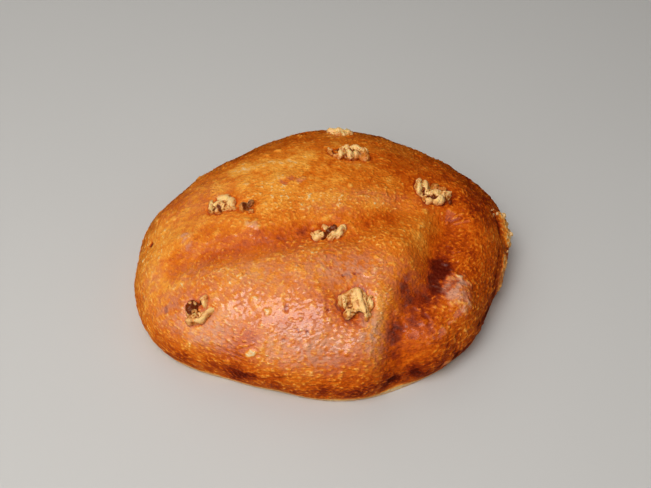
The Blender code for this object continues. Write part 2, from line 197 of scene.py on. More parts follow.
# Single marks on the crust, each along a line of one or more places: half width, height in mm (below 0 is a
# hollow), how much darker it is baked (painted shade in the furrows and along the front foot, as marked), and
# how far a milky veil covers it (a painted glint on the glossy bump low at the front right).
MARKS = (
    (((-71.3, -9.8, 22),), 1.2, -0.9, 0.7, 0),
    (((-57, -14, 30.5), (-54, -14.5, 31)), 1.8, 0.3, 0.06, 0.7),
    (((-54.3, -19, 30),), 2.8, 0, 0.04, 0.5),
    (((-30.5, -14.5, 36.5), (-27.5, -15.2, 37)), 1.6, 0.5, -0.1, 0.8),
    (((-17.5, 9.6, 39), (-14, 11.6, 39)), 1.8, -0.3, 0.24, 0.3),
    (((-11.6, 9.4, 39), (-9.6, 11.6, 39)), 1.4, 0.4, 0.14, 0.4),
    (((44.8, -25.6, 27.4), (44.4, -31, 26.6)), 3.2, -0.2, 0.24, 0),
    (((40.6, -33, 27), (41.6, -37, 26)), 1.8, -0.1, 0.2, 0),
    (((30, -37, 31.4), (29, -42, 29.6)), 2, -0.1, 0.12, 0),
    (((49.4, -41, 26), (50.6, -36.4, 26.6)), 4.6, 0.3, -0.1, 0.8),
    (((46.6, -34, 27.5), (48, -32.6, 27.3)), 1, 0.6, -0.6, 0.1),
    (((50.2, -31.6, 26.8), (51.6, -32, 26.3)), 1, 0.7, -0.6, 0.1),
    (((53.6, -32.8, 25), (55.4, -34.4, 24)), 0.8, 0.5, -0.3, 0.2),
    (((47, -36.6, 27), (49.4, -34.6, 27), (53, -35, 25.5)), 0.6, -0.4, 0.3, 0),
    (((51.5, -46.5, 22), (53, -43.5, 22.5)), 1.6, 0.3, -0.1, 0.7),
    (((-28.4, -64, 18.5), (-26.8, -64.1, 19.5)), 1.3, 0.5, -0.34, 0),
    (((-15.7, -62.3, 25),), 0.7, -0.25, 0.4, 0),
    (((-10.6, -60.2, 28), (-10, -61, 27.5)), 0.5, -0.2, 0.36, 0),
    (((-7.3, -60.4, 28), (-6.9, -61.2, 27.5)), 0.5, -0.2, 0.36, 0),
    (((10.4, -39, 35.3),), 0.6, -0.3, 0.34, 0),
    (((1.4, -36.8, 36.3),), 0.7, -0.3, 0.26, 0),
    (((0.3, -54, 31.5),), 0.8, -0.25, 0.3, 0),
    (((-60.9, -44, 22), (-60.9, -45.6, 21)), 0.8, -0.25, 0.35, 0),
    (((-14.7, -52.4, 31.9), (-14.7, -54, 31.5)), 0.9, -0.1, 0.28, 0),
    (((58.2, -44.8, 13.6),), 1.3, -0.2, 0.35, 0),
    (((6, -40, 35.6), (8.4, -39, 35.8), (9.2, -40.8, 35.3)), 0.45, -0.25, 0.3, 0),
    (((11.2, -38.4, 35.9), (12.8, -39.4, 35.6)), 0.45, -0.2, 0.28, 0),
    # a glossy bump low at the front right, paler and veiled as a painted glint
    (((46.3, -58.1, 8), (44.6, -60.2, 8.5)), 1.1, 0.5, -0.3, 0.4),
    # two grooves along the front foot, painted darker as shade where the side turns under: this row and the
    # next
    (((-36, -66, 9), (-31.3, -66.6, 9.5), (-26, -67, 9.5)), 2, -0.2, 0.1, 0),
    (((16, -69.5, 6), (26.1, -67, 7)), 2.2, -0.2, 0.08, 0),
    # the torn edge on the right: a furrow under the top crust, the ear that has come away, and bare dough; the
    # furrows and the gap under the ear's end are painted darker as shade
    (((69.9, 8.6, 22.6), (71.6, 3, 20.9), (71.3, -4, 20.4)), 0.8, -0.5, 0.16, 0),
    (((70, -9.5, 20), (68.4, -18.5, 18), (66, -27, 15)), 0.8, -0.5, 0.16, 0),
    (((73.6, 9, 18), (74.8, 4, 16.6), (75, 0, 16)), 3.4, 1.5, -0.42, 0.1),
    (((75.2, 9, 14.6), (76.4, 4, 13.6), (76.4, 0, 13)), 1.4, 0.5, -0.4, 0.2),
    (((75.6, -4.4, 14.5), (75, -4.8, 11)), 0.7, -0.6, 0.3, 0),
    (((72.8, -11, 14.6), (71.6, -15, 13), (69.6, -23, 11)), 2.6, 0.7, -0.46, 0.2),
)
# How far from a kernel's surface the crust and the kernel mark each other, in mm.
SEAM_REACH = 6.0

# The line along the torn ear's edge where crumbs cling, in mm.
TORN_EDGE = ((70.0, 8.6, 22.6), (73.5, 10.5, 17.5), (76.5, 4.0, 14.0), (76.0, -2.0, 13.0), (74.5, -7.0, 13.5))

# Marks on the kernels in the same way: places, half width, height, how far brown skin (above 0) or bare cream
# kernel (below 0) shows, how far the lobes run together into one slab, and how far egg wash has soaked in. The
# dark pits and folds are brown skin and painted shade together.
KERNEL_MARKS = (
    # front right: a slab with a fold down its right and two dark pits
    (((12.6, -46.6, 34.4), (8, -48.6, 34), (13.4, -53, 32.6)), 3, 0, 0, 1, 0.1),
    (((8.6, -51.6, 31.8),), 1.4, -0.5, 0.4, 0, 0.3),
    (((12.4, -54.9, 29.6), (10.2, -56.4, 28.5)), 1.7, -1.4, 1.1, 0, 0.2),
    (((13.4, -47.2, 34.6), (14, -50.9, 33.6), (14.6, -54.6, 31.6)), 0.55, -0.6, 0.5, 0, 0),
    (((16.2, -47.5, 34), (17, -52, 32.4)), 1.6, 0.5, -0.8, 0, -0.6),
    (((11.6, -47, 35.2), (12.4, -51, 34.4), (13.2, -55, 32.5)), 1, 0.3, -0.5, 0, 0),
    (((7.5, -47, 34.8), (4.4, -50, 33.4)), 1.2, 0.2, -0.5, 0, 0),
    # front left: a dome in its brown skin, with pale walls round it
    (((-50.2, -48, 28.6),), 3.3, 0.3, 1.1, 0, 0.2),
    # two cream stripes on the dome: painted glints, this row and the next
    (((-51, -46.7, 28.6), (-50.8, -47.7, 28.6)), 0.75, 0.1, -1.4, 0, 0),
    (((-49.2, -46.7, 28.4), (-49, -47.7, 28.2)), 0.7, 0.1, -1.4, 0, 0),
    (((-47.4, -47, 28), (-47.2, -49.4, 26.6)), 0.9, -0.9, 0.6, 0, 0),
    (((-45.2, -46.6, 29.4), (-44.6, -48.4, 29)), 2, 0.2, -0.9, 0.6, -0.4),
    (((-42.6, -50.2, 28), (-44.4, -52.6, 26.6), (-46.8, -53.8, 25.2)), 1.4, 0.3, -0.7, 0.3, -0.4),
    (((-50.6, -52.6, 25.6),), 1.6, 0, 0.3, 0, 0.4),
    # middle: two slanting lobes with dark folds between them
    (((-1.4, -20.4, 35.6), (-0.4, -18.2, 36)), 1.3, 0.5, 1.1, 0.6, 0),
    (((2.6, -15, 36.6), (0.4, -17, 36)), 1.2, -0.1, 1.2, 0, 0),
    (((-1.6, -17.8, 36), (-2, -16.4, 36)), 0.9, 0.1, 1.1, 0, 0),
    (((6.8, -15.6, 37.6), (4.2, -19.2, 37.4), (2.2, -21.2, 36.2)), 1.4, 0.3, -0.8, 0.5, -0.4),
    (((-5, -21.4, 36), (-3.2, -18.2, 35.8)), 1.5, 0.3, -0.7, 0.5, -0.4),
    (((-1.4, -15.7, 36),), 1.4, 0, 0, 0, -0.3),
    (((0.6, -16.4, 36.2), (-1, -15.8, 36.2)), 1.8, 0, 0, 0.6, -0.2),
    # right: two upright pale lobes, a pit, toasted lobes behind, pale ones in front, skin on the right
    (((38, 10.2, 37.4), (38.6, 6.6, 34.6)), 1.5, 0.1, -0.9, 0, -0.5),
    (((41.8, 10.6, 35.8), (41.6, 8.4, 34.4)), 1.1, 0.1, -0.4, 0, -0.2),
    (((40, 9.4, 35.6), (40.2, 6.4, 33.8)), 0.7, -0.6, 0.8, 0, 0.3),
    (((42, 4.8, 36.2), (43.7, 4.9, 35.1), (41, 6.6, 35)), 1.6, -1.4, 1.2, 0, 0),
    (((43.8, 12.8, 33.6), (47.6, 12, 33.4)), 2.6, 0, 0.2, 0, 0.8),
    (((45.2, 8.6, 35.7), (48.1, 8.4, 35)), 1.2, 0.1, -0.2, 0, 0.3),
    (((40.6, 2.6, 34.4), (42.4, 2.6, 33.6)), 1.5, 0.1, -0.6, 0, -0.3),
    (((44.6, 3.2, 34.6), (47, 3.2, 34.2)), 1.7, 0.2, -0.6, 0.8, -0.4),
    (((51.6, 8.4, 33.6),), 1.5, 0.1, -0.7, 0, -0.3),
    (((50.9, 4.3, 32.8),), 1.7, 0, 1, 0, 0),
    # back: pale lobes in front, a flatter pale part on the right, and a pit on the left
    (((4.4, 38, 34.4), (4, 35.4, 36), (3.2, 32.4, 37.2)), 1.8, -1, 1.1, 0, 0.4),
    (((6.4, 28.4, 37.9),), 1.5, 0.2, -0.9, 0, -0.5),
    (((10.3, 28.2, 38.5), (10.6, 30.4, 38.6)), 1.9, 0.2, -0.9, 0, -0.5),
    (((8.2, 28.6, 37), (8.4, 31, 37.4)), 0.6, -0.6, 0.9, 0, 0.2),
    (((14.1, 35.4, 37.4), (12, 36.4, 37.4)), 2, 0.2, -0.7, 0.9, -0.4),
    (((14.6, 29.4, 37.8), (16.4, 30, 37)), 2.8, 0, 0.2, 0.3, 0.8),
    (((7.4, 33, 38.6), (11, 33, 38.8)), 1.6, 0, 0.2, 0, 0.5),
    # left pair: a pale arch over two small lobes, and a small piece in its skin
    (((-42.6, -4.6, 36), (-43.6, -1.6, 35.4)), 1.1, -0.6, 0.9, 0, 0.2),
    (((-45.9, -2.6, 35.8), (-46, 0.2, 36)), 1.3, 0.1, -0.6, 0, -0.3),
    (((-42.4, 2.8, 36.8), (-39.6, 3.2, 37.2), (-37.4, -0.6, 37.4)), 1.8, 0.2, -0.6, 0.9, -0.3),
    (((-37.8, -2.4, 37.2), (-36.2, -4.2, 36.8)), 1.5, 0, -0.2, 0.8, 0.1),
    (((-31.6, -4, 38.2),), 3.6, 0, 0.74, 0, 0.2),
    (((-30, -6.2, 38.6),), 0.8, -0.7, 0.6, 0, 0),
    # far
    (((2.5, 57, 30), (10.5, 57, 30)), 4, 0, -0.6, 0.6, -0.5),
)


def linear(hex_colour):
    """An sRGB hex colour as linear RGBA."""
    channels = [int(hex_colour[i : i + 2], 16) / 255.0 for i in (1, 3, 5)]
    return tuple(c / 12.92 if c <= 0.04045 else ((c + 0.055) / 1.055) ** 2.4 for c in channels) + (1.0,)


def length(name, description, millimetres):
    metres = millimetres * MM
    return bpy.props.FloatProperty(
        name=name, description=description, default=metres, min=0.0, unit="LENGTH", subtype="DISTANCE"
    )


def colour(name, description, hex_colour):
    shade = linear(hex_colour)
    return bpy.props.FloatVectorProperty(
        name=name, description=description, default=shade, size=4, min=0.0, max=1.0, subtype="COLOR"
    )


def share(name, description, value):
    return bpy.props.FloatProperty(
        name=name, description=description, default=value, min=0.0, max=1.0, subtype="FACTOR"
    )


class GataCrustSettings(bpy.types.PropertyGroup):
    rings: bpy.props.IntProperty(
        name="Rings", description="Rings of faces from crown to foot, a multiple of 8", default=176, min=16
    )
    crinkle_height: length("Crinkle height", "Height of the fine wrinkles that run round the loaf", 0.2)
    crinkle_width: length("Crinkle width", "Half the distance from one fine wrinkle to the next", 0.95)
    lump_height: length("Lump height", "Height of the broad soft lumps", 0.3)
    blister_height: length("Blister height", "Height of the small blisters", 0.34)
    blister_width: length("Blister width", "Distance from one small blister to the next", 1.7)
    bump_height: length("Bump height", "Height of the finest wrinkles, which the material draws", 0.7)
    dough: colour("Dough", "Where the crust has hardly browned", "#F0CE96")
    gold: colour("Gold", "Lightly browned crust", "#FCA83E")
    amber: colour("Amber", "Crust as most of the loaf has it", "#E4781A")
    russet: colour("Russet", "Well browned crust", "#C85206")
    chestnut: colour("Chestnut", "Crust near the end of its baking", "#902A06")
    burnt: colour("Burnt", "Where egg wash has pooled and caught", "#5A0E04")
    # Also paints the milky sheen where the light's broad reflection spreads over the glaze.
    veil_and_sheen: colour("Veil", "Milky dried egg wash", "#D89A7A")
    sheen: colour("Sheen", "Tint of the browned starch's own gloss, under the egg wash", "#FFB45A")
    browning: share("Browning", "How far the crust is baked, from dough to burnt", 0.52)


class GataWalnutSettings(bpy.types.PropertyGroup):
    grain: length("Grain", "Width of the small faces that a kernel is made of", 0.18)
    warp: length("Warp", "How far the lobes are pushed out of round", 0.45)
    warp_seed: bpy.props.IntProperty(
        name="Warp seed", description="Which way the lobes are pushed out of round", default=3, min=1
    )
    chip_height: length("Chip height", "How deep the flat broken faces are cut", 0.56)
    chip_width: length("Chip width", "Width of a flat broken face", 3.0)
    wrinkle_height: length("Wrinkle height", "Height of the fine wrinkles on a kernel", 0.17)
    cream: colour("Cream", "Bare kernel on the ridges", "#FACA82")
    tan: colour("Tan", "Toasted kernel", "#CE8A44")
    # The crevice colour is the folds' brown skin and their painted shade.
    crevice: colour("Crevice", "Deep folds between the lobes", "#7C3406")
    skin: colour("Skin", "Papery brown skin left on a kernel", "#702808")
    vein: colour("Vein", "Veins in the skin", "#3A1206")
    stain: colour("Stain", "Kernel soaked with egg wash where it meets the crust", "#C8701E")
    oil: colour("Oil", "Tint of the kernel's own oily gloss", "#FFD49A")


class GataCrumbSettings(bpy.types.PropertyGroup):
    count: bpy.props.IntProperty(name="Count", description="Crumbs on the torn lip", default=12, min=1)
    smallest: length("Smallest", "Width of the smallest crumb", 0.6)
    largest: length("Largest", "Width of the largest crumb", 2.0)
    crumb: colour("Crumb", "Torn dough inside the crust", "#F0D29A")
    toasted: colour("Toasted", "Tips of the crumbs that have browned", "#C98A3C")


class GataStageSettings(bpy.types.PropertyGroup):
    floor: colour("Floor", "Plain pale floor", "#C9C6C1")
    key_power: bpy.props.FloatProperty(
        name="Key power", description="Power that the lights share out", default=5.5, min=0.0, unit="POWER"
    )
    sky: share("Sky", "Even light from all round", 0.1)


def add_node(tree, kind, inputs=(), output=0, **settings):
    """Adds a shader node, and gives one of its outputs. Inputs are values, or outputs to link."""
    made = tree.nodes.new("ShaderNode" + kind)
    for name, value in settings.items():
        if name == "stops":
            stops = made.color_ramp.elements
            for index, (place, shade) in enumerate(value):
                stop = stops[index] if index < 2 else stops.new(place)
                stop.position = place
                stop.color = shade
        else:
            setattr(made, name, value)
    for key, value in dict(inputs).items():
        if isinstance(value, bpy.types.NodeSocket):
            tree.links.new(value, made.inputs[key])
        else:
            made.inputs[key].default_value = value
    return made.outputs[output] if made.outputs else None


def new_material(name):
    """A material without nodes, and its node tree."""
    material = bpy.data.materials.new(name)
    material.use_nodes = True
    material.node_tree.nodes.clear()
    return material, material.node_tree


def per_metre(millimetres):
    """A noise scale for details of a real size."""
    return 1.0 / (millimetres * MM)


def select_only(obj):
    """Selects one object alone and makes it active."""
    bpy.ops.object.select_all(action="DESELECT")
    obj.select_set(True)
    bpy.context.view_layer.objects.active = obj


def edit_all(obj):
    """Opens an object in edit mode with all of it selected."""
    select_only(obj)
    bpy.ops.object.mode_set(mode="EDIT")
    bpy.ops.mesh.select_all(action="SELECT")


def copy_of_node(node, name):
    """A new piece with a CAD node's shape, its loose triangles joined at their corners."""
    piece = bpy.data.objects.new(name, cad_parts[node].data.copy())
    piece.data.name = name
    piece.data.materials.clear()
    bpy.context.scene.collection.objects.link(piece)
    edit_all(piece)
    bpy.ops.mesh.remove_doubles(threshold=0.01 * MM)
    bpy.ops.object.mode_set(mode="OBJECT")
    if piece.data.has_custom_normals:
        bpy.ops.mesh.customdata_custom_splitnormals_clear()
    bpy.ops.object.shade_smooth()
    return piece


def dress(piece, material):
    """Shades a piece smooth and gives it its material."""
    select_only(piece)
    bpy.ops.object.shade_smooth()
    piece.data.materials.append(material)


def apply_modifier(piece, kind, **settings):
    """Adds a modifier, sets it and applies it."""
    select_only(piece)
    modifier = piece.modifiers.new(kind.lower(), kind)
    for name, value in settings.items():
        setattr(modifier, name, value)
    bpy.ops.object.modifier_apply(modifier=modifier.name)


def read(items, field, width, kind=np.float32):
    """A field of a mesh's vertices, normals or edges, a row to each."""
    flat = np.empty(width * len(items), kind)
    items.foreach_get(field, flat)
    return flat.reshape(-1, width)


def points_of(piece):
    """Vertex places, in mm."""
    return read(piece.data.vertices, "co", 3).astype(float) / MM


def normals_of(piece):
    return read(piece.data.vertex_normals, "vector", 3).astype(float)


def edges_of(piece):
    return read(piece.data.edges, "vertices", 2, np.int32)


def move_points(piece, points):
    """Puts the vertices at places in mm, none of them past the solids' box."""
    low, high = (np.array(corner) / MM for corner in CAD_BOX)
    points = np.clip(points, low, high)
    piece.data.vertices.foreach_set("co", (points * MM).astype(np.float32).ravel())
    piece.data.update()


def blurred(values, edges, rounds):
    """Values at the vertices, averaged with their neighbours a number of times."""
    values = values.reshape(len(values), -1)
    one, other = edges[:, 0], edges[:, 1]
    count = len(values)
    neighbours = np.bincount(one, minlength=count) + np.bincount(other, minlength=count)
    neighbours = np.maximum(neighbours, 1)
    for _ in range(rounds):
        summed = np.empty_like(values)
        for column in range(values.shape[1]):
            line = values[:, column]
            summed[:, column] = np.bincount(one, line[other], count) + np.bincount(other, line[one], count)
        values = 0.5 * values + 0.5 * summed / neighbours[:, None]
    return values.squeeze()


def keep_value(piece, name, values):
    """Stores a number, or a place of three, at each vertex for the material to read."""
    kind, field = ("FLOAT", "value") if values.ndim == 1 else ("FLOAT_VECTOR", "vector")
    attribute = piece.data.attributes.new(name, kind, "POINT")
    attribute.data.foreach_set(field, values.astype(np.float32).ravel())


def noise_at(points, size):
    """Smooth noise, about -0.7 to 0.7, with details of a size in mm."""
    return np.array([noise.noise(place) for place in (points / size).tolist()])


def bell(distance, half_width):
    return np.exp(-((distance / half_width) ** 2))


def rise(values, start, end):
    """0 before start, 1 after end, smooth between."""
    step = np.clip((values - start) / (end - start), 0.0, 1.0)
    return step * step * (3.0 - 2.0 * step)


def hollowness(piece, rounds):
    """How far each vertex lies under the average of the surface round it, in mm; below 0 on ridges."""
    points = points_of(piece)
    away = blurred(points, edges_of(piece), rounds) - points
    return np.einsum("ij,ij->i", away, normals_of(piece))


# Crust


def hull_planes(points, growth):
    """Outward normals and offsets of a point cloud's convex hull, pushed out by a growth in mm."""
    cloud = bpy.data.meshes.new("hull")
    cloud.from_pydata((points * MM).tolist(), [], [])
    hull = bpy.data.objects.new("hull", cloud)
    bpy.context.scene.collection.objects.link(hull)
    edit_all(hull)
    bpy.ops.mesh.convex_hull()
    bpy.ops.mesh.normals_make_consistent(inside=False)
    bpy.ops.object.mode_set(mode="OBJECT")
    normals = np.array([face.normal[:] for face in cloud.polygons])
    centres = np.array([face.center[:] for face in cloud.polygons]) / MM
    bpy.data.objects.remove(hull)
    return normals, np.einsum("ij,ij->i", normals, centres) + growth


def even_disc(rings):
    """A hexagon of even triangles, and each vertex's ring and direction once the rings are pulled round."""
    first_cuts = 8
    bpy.ops.mesh.primitive_circle_add(vertices=6, radius=MM, fill_type="TRIFAN")
    piece = bpy.context.object
    edit_all(piece)
    bpy.ops.mesh.subdivide(number_cuts=first_cuts - 1)
    bpy.ops.mesh.subdivide(number_cuts=rings // first_cuts - 1)
    bpy.ops.object.mode_set(mode="OBJECT")
    x, y = points_of(piece)[:, :2].T
    corner = 30.0 + 60.0 * np.floor((np.degrees(np.arctan2(y, x)) - 30.0) / 60.0)
    middle = np.radians(corner + 30.0)
    ring = np.rint(rings * (x * np.cos(middle) + y * np.sin(middle)) / math.cos(math.radians(30.0)))
    sideways = y * np.cos(middle) - x * np.sin(middle)
    direction = np.radians(corner + 60.0 * (0.5 + sideways * rings / np.maximum(ring, 1.0)))
    return piece, ring.astype(int), direction


def ray_hits(tree, start, directions):
    """Where rays from a point in mm first meet a surface."""
    found = [tree.ray_cast(start * MM, direction)[0] for direction in directions.tolist()]
    return np.array(found) / MM


def pointing(azimuth, elevation):
    flat = np.cos(elevation)
    return np.stack([flat * np.cos(azimuth), flat * np.sin(azimuth), np.sin(elevation)], axis=1)


def foot_elevations(tree, heart, azimuths):
    """From the heart of the loaf, how far below the level its bottom edge is seen each way round."""
    outside = 200.0
    sole = 0.2  # height at which the foot's reach is measured, in mm
    reaches = []
    for azimuth in azimuths.tolist():
        inward = Vector((-math.cos(azimuth), -math.sin(azimuth), 0.0))
        start = Vector((0.0, 0.0, sole * MM)) - inward * outside * MM
        reaches.append(tree.ray_cast(start, inward)[0].xy.length / MM)
    return -np.arctan2(heart.z, np.array(reaches))


def even_steps(tree, heart, rings):
    """Shares of the turn from straight up to the foot at which the rings lie evenly along the crust."""
    tries = np.linspace(0.0, 1.0, 241)
    azimuths = np.radians(np.arange(0.0, 360.0, 15.0))
    run = np.zeros(len(tries))
    for azimuth, foot in zip(azimuths, foot_elevations(tree, heart, azimuths)):
        elevations = math.pi / 2 + tries * (foot - math.pi / 2)
        hits = ray_hits(tree, heart, pointing(np.full(len(tries), azimuth), elevations))
        run[1:] += np.cumsum(np.linalg.norm(np.diff(hits, axis=0), axis=1))
    return np.interp(np.linspace(0.0, run[-1], rings + 1), run, tries)


def in_socket(points):
    """Marks the points that lie in the beds that the walnuts sit in."""
    reach = 1.0  # past the kernel's hull, which takes in the whole bed
    inside = np.zeros(len(points), bool)
    for node in WALNUTS:
        corners = np.array([vertex.co[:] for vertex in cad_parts[node].data.vertices]) / MM
        normals, offsets = hull_planes(corners, reach)
        inside |= (points @ normals.T < offsets).all(axis=1)
    return inside


def fair(points, edges, loose, rounds):
    """Lets the loose points settle to the middle of their neighbours, like a soap film."""
    edges = edges[loose[edges].any(axis=1)]
    points = points.copy()
    for _ in range(rounds):
        points[loose] = blurred(points, edges, 1)[loose]
    return points


def crust_grid(rings):
    """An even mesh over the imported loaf, closed over the walnuts' beds, with a flat base."""
    heart = Vector((0.0, 0.0, 12.0))  # a place inside, in mm, that sees the whole crust
    close_beds, soften_all = 400, 14  # rounds of fairing
    solid = copy_of_node("loaf", "loaf_solid")
    tree = BVHTree.FromObject(solid, bpy.context.evaluated_depsgraph_get())
    bpy.data.objects.remove(solid)

    piece, ring, azimuth = even_disc(rings)
    piece.name = piece.data.name = "loaf_crust"
    foot = foot_elevations(tree, heart, azimuth)
    elevation = math.pi / 2 + even_steps(tree, heart, rings)[ring] * (foot - math.pi / 2)
    points = ray_hits(tree, heart, pointing(azimuth, elevation))
    points[ring == rings, 2] = 0.0
    edges = edges_of(piece)
    points = fair(points, edges, in_socket(points), close_beds)
    points = fair(points, edges, ring < rings - 1, soften_all)
    move_points(piece, points)

    select_only(piece)
    bpy.ops.object.mode_set(mode="EDIT")
    bpy.ops.mesh.select_mode(type="EDGE")
    bpy.ops.mesh.select_all(action="DESELECT")
    bpy.ops.mesh.select_non_manifold(extend=False)
    bpy.ops.mesh.edge_face_add()
    bpy.ops.mesh.select_mode(type="FACE")
    for share_left in (0.96, 0.8, 0.5):  # rings of the flat base, inwards
        bpy.ops.mesh.extrude_region()
        bpy.ops.transform.resize(value=(share_left, share_left, 1.0), center_override=(0.0, 0.0, 0.0))
    bpy.ops.mesh.poke()
    bpy.ops.mesh.select_all(action="SELECT")
    bpy.ops.mesh.normals_make_consistent(inside=False)
    bpy.ops.object.mode_set(mode="OBJECT")
    return piece


def wrapped(points):
    """A coordinate in mm that is drawn out round the loaf, and how far each vertex is on its edge."""
    stretch = 1.9  # how much longer a wrinkle is than it is wide, at the loaf's edge
    edge_radius = 75.0
    angle = np.arctan2(points[:, 1], points[:, 0])
    radius = np.hypot(points[:, 0], points[:, 1])
    turn = edge_radius / stretch
    down = radius + CAD_BOX[1].z / MM - points[:, 2]
    return np.stack([turn * np.cos(angle), turn * np.sin(angle), down], axis=1), rise(radius, 25.0, 55.0)


def crinkles(points, width):
    """Fine wrinkles that run round the loaf near its edge and every way on its crown, from -1 to 1."""
    wander = (0.6 * noise_at(points, 6.0))[:, None]
    around, edge = wrapped(points)
    ringed = noise_at(around / width + wander, 1.0)
    even = noise_at(points / (1.3 * width) + wander, 1.0)
    return 1.6 * (edge * ringed + (1.0 - edge) * even)


def blisters(points, spacing, least):
    """Round domes of differing height, one to a cell and none where the cell's own luck is under least."""
    heights = []
    dome = 0.6  # radius, in cells
    for place in (points / spacing).tolist():
        distances, cells = noise.voronoi(place)
        luck = noise.cell(cells[0])
        heights.append(max(0.0, luck - least) / (1.0 - least) * max(0.0, 1.0 - (distances[0] / dome) ** 2))
    return np.array(heights)


def crust_relief(points, fine_share, settings):
    """How far the crust stands out of its smooth form at each vertex, in mm."""
    rough = (0.8 + 0.7 * noise_at(points + 40.0, 13.0)) * (0.3 + 0.7 * fine_share)
    lumps = noise_at(points, 9.0) + 0.5 * noise_at(points, 4.5)
    small = blisters(points, settings.blister_width / MM, 0.45)
    large = blisters(points + 30.0, 2.1 * settings.blister_width / MM, 0.72)
    fine = crinkles(points, settings.crinkle_width / MM)
    finest = noise_at(points, 0.7)
    return (
        settings.lump_height / MM * lumps
        + settings.blister_height / MM * (rough * small + 1.6 * large)
        + settings.crinkle_height / MM * rough * (fine + 0.8 * np.abs(fine) + 0.4 * finest)
    )


def torn_relief(points):
    """How far torn dough stands out in shreds and dips into pores at each vertex, in mm."""
    return 0.5 * noise_at(points, 2.4) + 0.45 * noise_at(points, 1.2)


def node_distance(points, node):
    """Distance in mm from each place to a CAD node's surface, no more than SEAM_REACH."""
    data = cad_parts[node].data
    tree = BVHTree.FromPolygons([v.co[:] for v in data.vertices], [f.vertices[:] for f in data.polygons])
    low, high = (np.array(corner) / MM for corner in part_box(node))
    distances = np.full(len(points), SEAM_REACH)
    near = ((points > low - SEAM_REACH) & (points < high + SEAM_REACH)).all(axis=1)
    for index in np.flatnonzero(near):
        found = tree.find_nearest(points[index] * MM, SEAM_REACH * MM)
        if found[0] is not None:
            distances[index] = found[3] / MM
    return distances


def line_distance(points, line):
    """Distance in mm from each vertex to a line of one or more places."""
    places = [np.array(place) for place in line]
    nearest = np.full(len(points), np.inf)
    for start, end in zip(places, places[1:] or places):
        run = end - start
        share_along = np.clip((points - start) @ run / max(run @ run, 1e-9), 0.0, 1.0)
        gap = np.linalg.norm(points - start - share_along[:, None] * run, axis=1)
        nearest = np.minimum(nearest, gap)
    return nearest


def mark_strengths(points, marks):
    """Sum over the marks of each of their amounts at each vertex; a mark is flat, with a ragged edge."""
    ragged = 1.0 + 0.5 * noise_at(points, 1.7)
    total = np.zeros((len(marks[0]) - 2, len(points)))
    for line, half_width, *amounts in marks:
        share_here = np.exp(-((line_distance(points, line) * ragged / half_width) ** 4))
        total += np.outer(amounts, share_here)
    return total


def patch_strength(points, patches):
    """Sum over the patches of each one's amount at each vertex; a patch fades evenly from its middle."""
    total = np.zeros(len(points))
    for x, y, across, along, amount, *turn in patches:
        angle = math.radians(sum(turn))
        dx, dy = points[:, 0] - x, points[:, 1] - y
        u = dx * math.cos(angle) + dy * math.sin(angle)
        v = dy * math.cos(angle) - dx * math.sin(angle)
        total += amount * np.exp(-((u / across) ** 2) - (v / along) ** 2)
    return total


def crust_values(piece, nut_distance, marks, fine_share, torn, settings):
    """Stores what the material reads at each vertex: baking with painted shade, egg wash, a veil with painted
    sheen, hollows, a coordinate for wrinkles.
    """
    points = points_of(piece)
    height = points[:, 2]
    palest = 0.32  # away from single marks
    bake_and_shade = np.maximum(settings.browning + patch_strength(points, BAKE_AND_SHADE_PATCHES), palest) + marks[1]
    # Darker towards the right, baking and painted shade on the side away from the light, and paler on the
    # crown.
    bake_and_shade += 0.03 * rise(points[:, 0], 0.0, 60.0) - 0.06 * rise(height, 26.0, 38.0)
    bake_and_shade += np.minimum(0.10 * noise_at(points, 16.0) + 0.08 * noise_at(points, 6.0), 0.05)
    bake_and_shade += torn * (0.04 - 0.45 * torn_relief(points + 0.4))
    bake_and_shade += 0.12 * bell(nut_distance, 1.2) * (1.0 + 1.5 * noise_at(points, 3.0))  # painted shade in the seams round the kernels
    # Painted shade along the low front side, where it turns under.
    low_shade = bell(height - 8.0, 6.0) * rise(0.3 * points[:, 0] - points[:, 1], 10.0, 55.0)
    bake_and_shade += 0.20 * low_shade * (1.0 + 1.2 * noise_at(points, 5.0))
    pale_rim = rise(-height, -3.6 - 2.4 * noise_at(points, 7.0), -0.9) * (height > 0.02)
    bake_and_shade -= 0.6 * pale_rim
    around, edge = wrapped(points)
    # The milky veil: painted sheen from the sheen patches, with the marks' veils and the pale rim's.
    veil_and_sheen = patch_strength(points, PAINTED_SHEEN_PATCHES) * rise(height, 13.0, 20.0) + marks[2] + 0.25 * pale_rim
    wash = (rise(height, 7.0, 23.0) + 0.5 * noise_at(points, 5.0)) * fine_share
    wash *= 0.3 + 0.7 * rise(nut_distance, 0.6, 3.0)  # dull where kernels have drunk it
    for name, values in (
        ("wrap", around * MM),
        ("edge", edge),
        ("veil_and_sheen", np.clip(veil_and_sheen, 0.0, 1.0)),
        ("wash", np.clip(wash, 0.02, 1.0)),
        ("fine", fine_share),
        ("broad", 2.2 - 1.2 * fine_share),
        ("bake_and_shade", bake_and_shade),
        ("hollow", np.clip(hollowness(piece, 6) / 0.08, -1.0, 1.0)),
        ("dip", np.clip(hollowness(piece, 80) / 0.35, -1.0, 1.0)),
    ):
        keep_value(piece, name, values)


